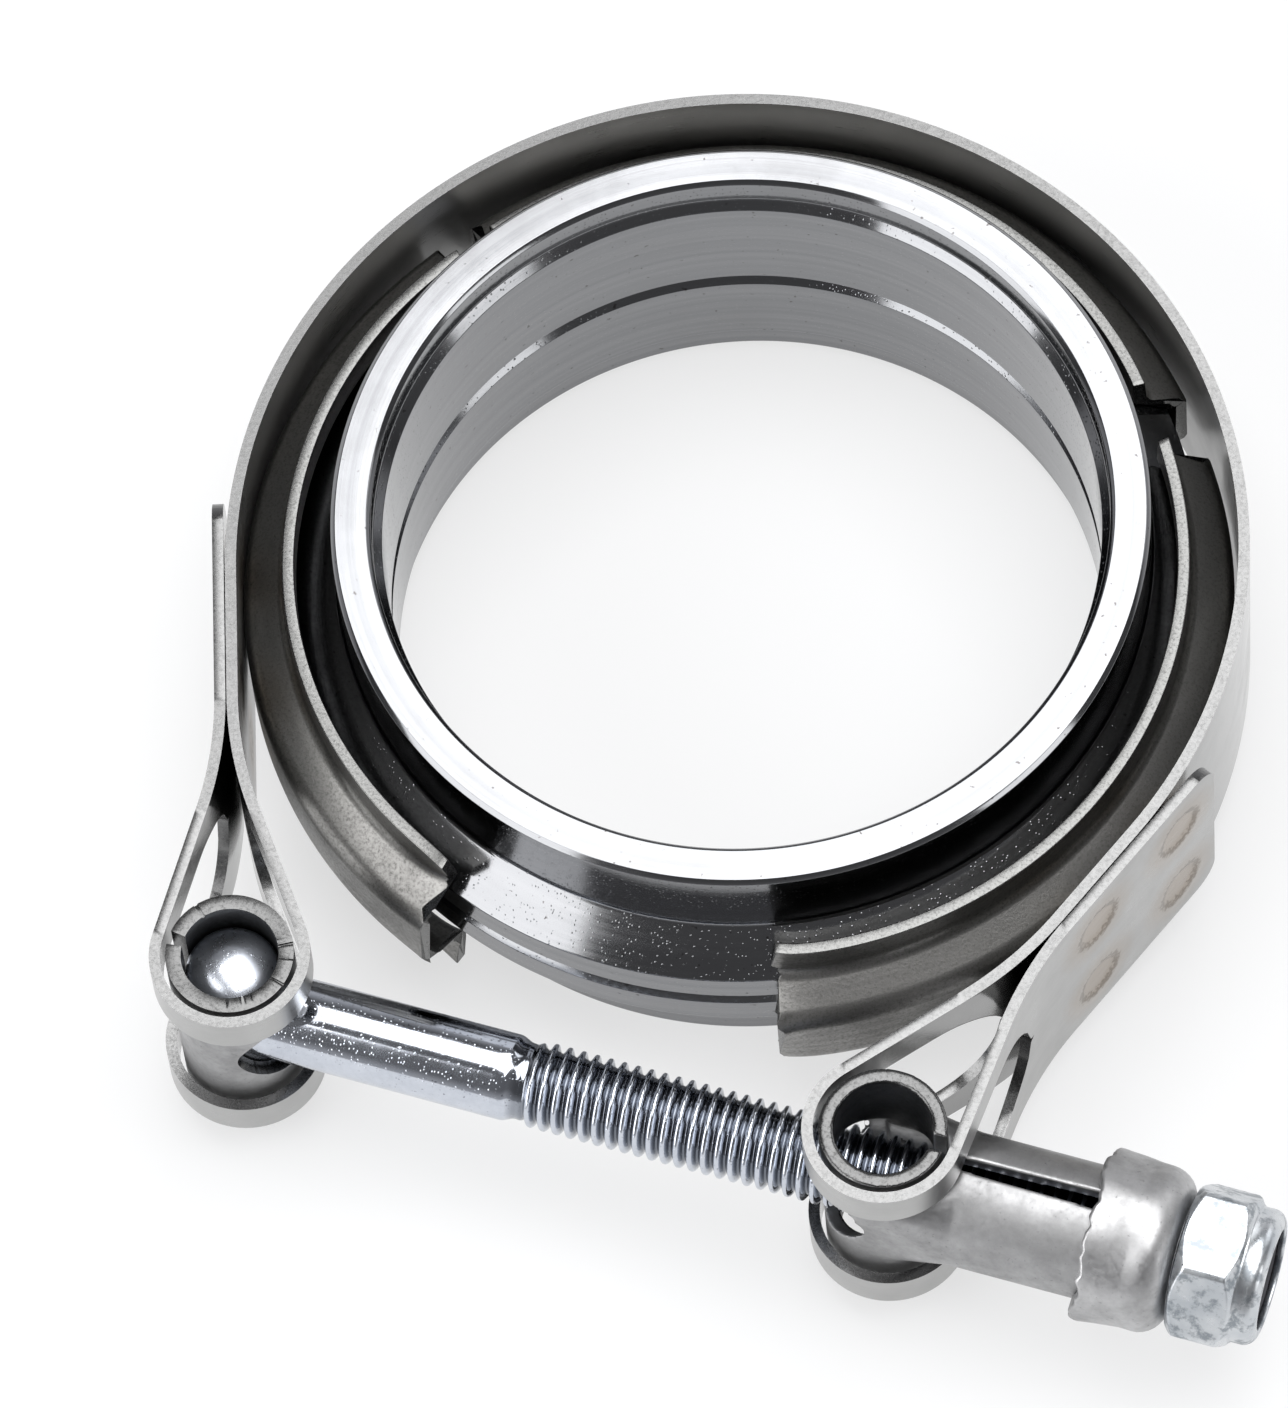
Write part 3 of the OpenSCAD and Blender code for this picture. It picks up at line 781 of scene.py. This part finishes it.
def make_barrel():
    """Left barrel, rolled from sheet: an open seam at the left and a round hole that the shank leaves by."""
    half_rows = 14
    seam = SEAM_W / 2 / BARREL_R
    angles = set(np.round(np.linspace(seam - math.pi, math.pi - seam, 150), 5))
    reach = math.asin(HOLE_R / BARREL_R)
    hole_at = -math.radians(HOLE_TURN)
    ends = (hole_at - reach, hole_at + reach)
    for sign, end in ((1, ends[0]), (-1, ends[1])):
        angles |= set(np.round(end + sign * (1 - np.cos(np.linspace(0, 1.2, 12))), 5))
    # Small nicks in the upper rim
    nicks = (math.radians(26), math.radians(-16), math.radians(140))
    for nick in nicks:
        angles |= {round(nick + d, 5) for d in (-0.032, -0.026, 0.026, 0.032)}
    verts = []
    angles = sorted(angles)
    for angle in angles:
        off = BARREL_R * math.sin(min(abs(angle - hole_at), math.pi / 2))
        low = math.sqrt(max(0.0, HOLE_R ** 2 - off ** 2))
        high = BAND_W / 2
        dent = 0.22 if any(abs(angle - nick) < 0.029 for nick in nicks) else 0.0
        x = LEFT_X + BARREL_R * math.cos(angle)
        y = BOLT_Y + BARREL_R * math.sin(angle)
        verts += [(x, y, CLAMP_Z + z) for z in split_column(low, high, high - dent, half_rows)]
    faces = split_faces(len(angles), half_rows)
    piece = add_piece("barrel", verts, faces, [ROLLED, ROLLED_EDGE, ROLLED_INSIDE_SHADE])
    bm = bmesh.new()
    bm.from_mesh(piece.data)
    middle = Vector((LEFT_X * MM, BOLT_Y * MM, 0))
    for face in bm.faces:
        away = face.calc_center_median() - middle
        away.z = 0
        if face.normal.dot(away) < 0:
            face.normal_flip()
    bm.to_mesh(piece.data)
    bm.free()
    # The inner shell gets the darker copy of the rolled steel, painted shade inside the barrel
    add_modifier(piece, "SOLIDIFY", thickness=BARREL_T * MM, offset=-1, use_even_offset=True,
                 material_offset=2, material_offset_rim=1)
    add_bevel(piece, 0.18, 3, 50)
    keep_flats_flat(piece)
    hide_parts("bolt_barrel")
    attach(piece, "bolt")


def thread_r(phase):
    """Radius of the thread at a phase of one pitch: a rounded V with a narrow flat on its crest."""
    root = BOLT_R - 0.68
    away = abs((phase + 0.5) % 1 - 0.5) * 2
    return root + (BOLT_R - root) * float(smoothstep((away - 0.10) / 0.75))


def make_bolt():
    """T bolt: a domed head across the barrel, a plain shank, a taper and a rolled thread."""
    start = SHANK_LEN + TAPER_LEN
    tip = BOLT_LEN - TIP_CHAMFER
    base = ROOT_R + 0.1
    around = 72
    per_turn = 14
    turns = int((BOLT_LEN - start) / PITCH) + 2
    outline = [(0.0, 0.0), (BOLT_R, 0.0)]
    for x in np.linspace(1, SHANK_LEN, 26):
        outline.append((BOLT_R, x))
    for t in np.linspace(0, 1, 7)[1:]:
        outline.append((BOLT_R + (base - BOLT_R) * float(smoothstep(t)), SHANK_LEN + TAPER_LEN * t))
    angles = np.arange(around + 1) * 2 * math.pi / around
    rows = []
    for r, x in outline:
        rows.append([(x, r, a) for a in angles])
    # Each row of the thread is one step of its helix, cut off at the taper and at the tip
    for step in range(turns * per_turn + 1):
        row = []
        for j, angle in enumerate(angles):
            x = start + (step / per_turn - 1 + j / around) * PITCH
            grow = float(smoothstep((x - start) / 1.6))
            r = base + (thread_r(step / per_turn) - base) * grow
            if x > tip:
                r = min(r, BOLT_R - TIP_SLOPE * (x - tip))
            if x < start:
                x = start
                r = base
            if x > BOLT_LEN:
                x = BOLT_LEN
                r = BOLT_R - TIP_SLOPE * TIP_CHAMFER
            row.append((x, r, angle))
        rows.append(row)
    rows.append([(BOLT_LEN, 0.0, a) for a in angles])
    verts = []
    for row in rows:
        for x, r, angle in row:
            verts.append((LEFT_X + x, BOLT_Y + r * math.cos(angle), CLAMP_Z + r * math.sin(angle)))
    body_faces = grid_faces(len(rows), around + 1)
    offset = len(verts)
    # The head is a stub across the barrel, domed at both ends
    half = HEAD_H / 2
    cap = []
    for t in np.linspace(0, 1, 12):
        r = (HEAD_R - 0.35) * t
        cap.append((r, half - DOME_R + math.sqrt(DOME_R ** 2 - r ** 2)))
    shoulder = half - DOME_R + math.sqrt(DOME_R ** 2 - HEAD_R ** 2)
    cap += [(HEAD_R - 0.2, shoulder + 0.13), (HEAD_R - 0.08, shoulder), (HEAD_R, shoulder - 0.25)]
    dome = cap + [(HEAD_R, z) for z in np.linspace(shoulder - 0.6, 0.6 - shoulder, 16)]
    dome += [(r, -z) for r, z in reversed(cap)]
    for r, z in dome:
        for angle in angles:
            verts.append((LEFT_X + r * math.cos(angle), BOLT_Y + r * math.sin(angle), CLAMP_Z + z))
    head_faces = [tuple(offset + i for i in face) for face in grid_faces(len(dome), around + 1)]
    kinds = [0] * len(body_faces) + [1] * len(head_faces)
    piece = add_piece("t_bolt_detail", verts, body_faces + head_faces, [ZINC, HEAD_ZINC], kinds)
    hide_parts("t_bolt")
    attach(piece, "bolt")


# Stem, ferrule and nut

def make_trunnion():
    """Right barrel and its stem, formed from one sheet. The solid's mesh is softened where the two meet."""
    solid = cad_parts["nut_trunnion"]
    mesh = solid.data.copy()
    mesh.name = "trunnion"
    mesh.transform(solid.matrix_world)
    mesh.materials.clear()
    mesh.materials.append(ROLLED)
    piece = bpy.data.objects.new("trunnion", mesh)
    bpy.context.scene.collection.objects.link(piece)
    add_modifier(piece, "REMESH", mode="VOXEL", voxel_size=0.2 * MM, use_smooth_shade=True)
    add_modifier(piece, "SMOOTH", factor=0.5, iterations=5)
    bake_modifiers(piece)
    piece.data.materials.append(ROLLED_EDGE)
    piece.data.materials.append(ROLLED_INSIDE_SHADE)
    for face in piece.data.polygons:
        x, y, z = face.center / MM
        off = math.hypot(x - RIGHT_X, y - BOLT_Y)
        if abs(z - CLAMP_Z) > BAND_W / 2 - 0.12 and face.normal.z ** 2 > 0.5:
            face.material_index = 1
        # Faces of the bore get the darker copy of the rolled steel, painted shade inside the barrel
        elif off < BARREL_R - BARREL_T + 0.15:
            face.material_index = 2
    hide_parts("nut_trunnion")
    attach(piece, "trunnion")


def make_ferrule():
    """Cap crimped over the stem's end, with a torn front edge."""
    inner = STEM_R + FERRULE_GAP
    outer = inner + FERRULE_T
    outline = rounded([
        (inner, FERRULE_START, 0.25),
        (outer + FERRULE_FLARE, FERRULE_START, 0.35),
        (outer, FERRULE_START + 4, 4),
        (outer, FERRULE_END, FERRULE_T + 1.2),
        (FERRULE_HOLE_R, FERRULE_END, 0.3),
        (FERRULE_HOLE_R, STEM_LEN + FERRULE_GAP, 0.1),
        (inner, STEM_LEN + FERRULE_GAP, 0.3),
    ], 8)
    dense = []
    for i in range(len(outline)):
        a = outline[i]
        b = outline[(i + 1) % len(outline)]
        count = max(1, int(np.linalg.norm(b - a) / 0.5))
        dense += [a + (b - a) * k / count for k in range(count)]

    def scallop(r, x, angle):
        """Waves of the torn front edge and the dents of the crimp."""
        wave = 0.0
        for k in range(5):
            turn_off = abs((math.degrees(angle) - 15 - 72 * k + 180) % 360 - 180)
            wave = max(wave, 0.62 * math.exp(-(turn_off * math.pi / 180 * outer / 1.15) ** 2))
        wave += 0.16 * math.sin(3 * angle + 1) + 0.12 * math.sin(11 * angle) + 0.09 * math.sin(23 * angle + 2)
        wave += 0.05 * math.sin(41 * angle)
        fade = float(smoothstep(1 - (x - FERRULE_START) / 1.4))
        swell = 0.16 * math.sin(5 * angle + 0.6) * float(smoothstep(1 - abs(x - FERRULE_START - 3) / 3.4))
        return (r + swell if r > inner + 0.3 else r), x + wave * fade

    start = (RIGHT_X, BOLT_Y, CLAMP_Z)
    piece = lathe("ferrule", dense, [CRIMPED], 240, "x", start, scallop)
    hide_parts("stem_ferrule")
    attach(piece, "trunnion")


def make_nut():
    """Nut with chamfered corners and a rolled collar, and the locking ring in the collar."""
    hex_r = NUT_AF / 2 / math.cos(math.radians(30))
    blank_r = hex_r + 0.1
    front_r = NUT_AF / 2 - 0.2
    back_r = NUT_AF / 2 - 0.3
    lip_r = INSERT_R - 0.65
    height = NUT_HEX_H + NUT_COLLAR_H
    collar = rounded([
        (0, 0, 0), (NUT_COLLAR_R, 0, 0), (NUT_COLLAR_R, NUT_COLLAR_H, 1.2), (0, NUT_COLLAR_H, 0)
    ], 10)
    outline = [(NUT_BORE_R + 0.5, 0.0), (front_r, 0.0)]
    for t in np.linspace(0, 1, 11)[1:]:
        outline.append((front_r + (blank_r - front_r) * t, NUT_CHAMFER * t))
    for h in np.linspace(NUT_CHAMFER, NUT_HEX_H - NUT_CHAMFER, 10)[1:]:
        outline.append((blank_r, h))
    for t in np.linspace(0, 1, 11)[1:]:
        outline.append((blank_r + (back_r - blank_r) * t, NUT_HEX_H - NUT_CHAMFER * (1 - t)))
    outline += [(NUT_COLLAR_R + 0.12, NUT_HEX_H + 0.02), (NUT_COLLAR_R, NUT_HEX_H + 0.12)]
    outline += [(r, h + NUT_HEX_H) for r, h in collar if r > INSERT_R - 0.6 and h > 0.05]
    outline += [
        (INSERT_R - 0.6, height),
        (lip_r, height - 0.1),
        (lip_r, height - 0.6),
        (INSERT_R, height - 0.6),
        (INSERT_R, NUT_HEX_H - 0.1),
        (NUT_BORE_R, NUT_HEX_H - 0.1),
        (NUT_BORE_R, 0.5),
    ]

    def hexed(r, x, angle):
        """Cuts the turned blank to its six flats, with slightly rounded corners."""
        if r <= NUT_COLLAR_R + 0.05:
            return r, x
        corner = (math.degrees(angle) - NUT_TURN) % 60 - 30
        flat = min(NUT_AF / 2 / math.cos(math.radians(corner)), hex_r - 0.13)
        soft = 0.06
        blend = max(0.0, soft - abs(r - flat)) / soft
        return min(r, flat) - blend * blend * soft * 0.25, x

    start = (RIGHT_X + NUT_START, BOLT_Y, CLAMP_Z)
    piece = lathe("nut_body", outline, [NUT_ZINC], 360, "x", start, hexed)
    keep_flats_flat(piece)
    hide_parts("lock_nut")
    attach(piece, "nut")
    ring = lathe("locking_ring_detail", rounded([
        (NUT_BORE_R, 0, 0.2),
        (INSERT_R - 0.05, 0, 0.1),
        (INSERT_R - 0.05, INSERT_T - 0.1, 0.1),
        (NUT_BORE_R, INSERT_T - 0.1, 0.35),
    ], 4), [RING], 96, "x", (RIGHT_X + NUT_START + NUT_HEX_H - 0.05, BOLT_Y, CLAMP_Z))
    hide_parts("nut_insert")
    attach(ring, "nut_ring")


# Studio and camera

def make_room():
    """The world: a dark room, paler low down."""
    world = bpy.data.worlds.new("studio")
    bpy.context.scene.world = world
    world.use_nodes = True
    world.node_tree.nodes.clear()
    w = Nodes(world.node_tree)
    ray = w.node("ShaderNodeTexCoord").outputs["Generated"]
    to_rear = {0: ray, 1: (-0.37, 0.93, 0)}
    rear = w.node("ShaderNodeVectorMath", to_rear, operation="DOT_PRODUCT").outputs["Value"]
    up = w.node("ShaderNodeSeparateXYZ", {0: ray}).outputs[2]
    # 0 at the front horizon, a half overhead and 1 at the rear horizon
    share = w.span(w.math("ARCTAN2", rear, up), -math.pi / 2, math.pi / 2, 0.0, 1.0)
    ramp = w.node("ShaderNodeValToRGB", {0: share})
    levels = (
        (0.0, 0.45), (0.06, 0.35), (0.14, 0.16), (0.35, 0.15), (0.5, 0.14),
        (0.64, 0.10), (0.74, 0.12), (0.84, 0.5), (1.0, 0.7),
    )
    stops = ramp.color_ramp.elements
    stops[0].position = levels[0][0]
    stops[1].position = levels[-1][0]
    for at, _ in levels[1:-1]:
        stops.new(at)
    for stop, (_, level) in zip(stops, levels):
        stop.color = (level, level, level * 1.03, 1)
    background = w.node("ShaderNodeBackground", {"Color": ramp.outputs[0], "Strength": 1.0})
    w.node("ShaderNodeOutputWorld", {"Surface": background.outputs[0]})


def make_lamps():
    """Softboxes that face the part: name, place, size, power and lean about the line to the part."""
    target = Vector((0, -0.01, 0.015))
    for name, place, size, power, lean in (
        ("softbox_top", (0.14, 0.165, 1.5), (1.5, 1.26), 28.0, 0),
        ("softbox_left", (-0.525, -0.583, 0.42), (0.655, 1.03), 7.4, 15),
        ("softbox_right", (0.80, -0.16, 0.26), (0.34, 0.26), 0.8, 0),
        ("softbox_rear", (0.50, 0.60, 0.40), (0.50, 0.40), 1.0, 0),
    ):
        lamp = bpy.data.lights.new(name, "AREA")
        lamp.shape = "RECTANGLE"
        lamp.size, lamp.size_y = size
        lamp.energy = power
        holder = bpy.data.objects.new(name, lamp)
        holder.location = place
        facing = (target - Vector(place)).to_track_quat("-Z", "Y")
        holder.rotation_euler = (facing @ Quaternion((0, 0, 1), math.radians(lean))).to_euler()
        bpy.context.scene.collection.objects.link(holder)


def make_floor():
    """White floor, as the camera and the metal see it. Its glow adds no light, and shadows stay on it."""
    f = Finish("floor", metallic=0.0)
    diffuse = f.node("ShaderNodeBsdfDiffuse", {"Color": (0.27, 0.272, 0.276, 1)})
    path = f.node("ShaderNodeLightPath").outputs
    seen = f.math("MAXIMUM", path["Is Camera Ray"], path["Is Glossy Ray"])
    seen = f.math("MAXIMUM", seen, path["Is Transmission Ray"])
    glow = f.node("ShaderNodeEmission", {"Color": (1, 1, 1, 1), "Strength": f.math("MULTIPLY", seen, 0.64)})
    total = f.node("ShaderNodeAddShader", {0: diffuse.outputs[0], 1: glow.outputs[0]})
    f.put(total.outputs[0], f.tree.nodes["Material Output"].inputs["Surface"])
    mesh = bpy.data.meshes.new("floor")
    size = 3.0
    corners = [(-size, -size, 0), (size, -size, 0), (size, size, 0), (-size, size, 0)]
    mesh.from_pydata(corners, [], [(0, 1, 2, 3)])
    mesh.materials.append(f.material)
    floor = bpy.data.objects.new("floor", mesh)
    bpy.context.scene.collection.objects.link(floor)


def make_camera():
    """A long lens, high over the bolt and a little to its right. focal and width are in pixels."""
    turn = Matrix.Rotation(math.radians(21.7), 3, "Z")
    elevation = math.radians(64.33)
    yaw = -0.0217
    roll = -0.1092
    focal = 12000
    width = 1288
    ahead = Vector((
        math.sin(yaw) * math.cos(elevation), math.cos(yaw) * math.cos(elevation), -math.sin(elevation)
    ))
    right = Vector((math.cos(yaw), -math.sin(yaw), 0))
    up = right.cross(ahead)
    tilted_right = math.cos(roll) * right + math.sin(roll) * up
    tilted_up = -math.sin(roll) * right + math.cos(roll) * up
    pose = Matrix([turn @ axis for axis in (tilted_right, tilted_up, -ahead)]).transposed().to_4x4()
    pose.translation = turn @ Vector((0, -0.47505, 0.98197))
    lens = bpy.data.cameras.new("camera")
    lens.sensor_fit = "HORIZONTAL"
    lens.sensor_width = 36
    lens.lens = lens.sensor_width * focal / width
    lens.clip_end = 10
    camera = bpy.data.objects.new("camera", lens)
    camera.matrix_world = pose
    bpy.context.scene.collection.objects.link(camera)
    bpy.context.scene.camera = camera


make_camera()
make_room()
make_lamps()
make_floor()
make_flanges()
make_band()
make_channel("channel_left", "v_segment_left", CHANNEL_MIDDLES[0], (0.1, 0.5))
make_channel("channel_rear", "v_segment_rear", CHANNEL_MIDDLES[1], (0.1, 0.1))
make_channel("channel_right", "v_segment_right", CHANNEL_MIDDLES[2], (0.5, 0.1))
make_barrel()
make_bolt()
make_trunnion()
make_ferrule()
make_nut()

bpy.context.scene.view_settings.view_transform = "Standard"
bpy.context.view_layer.update()
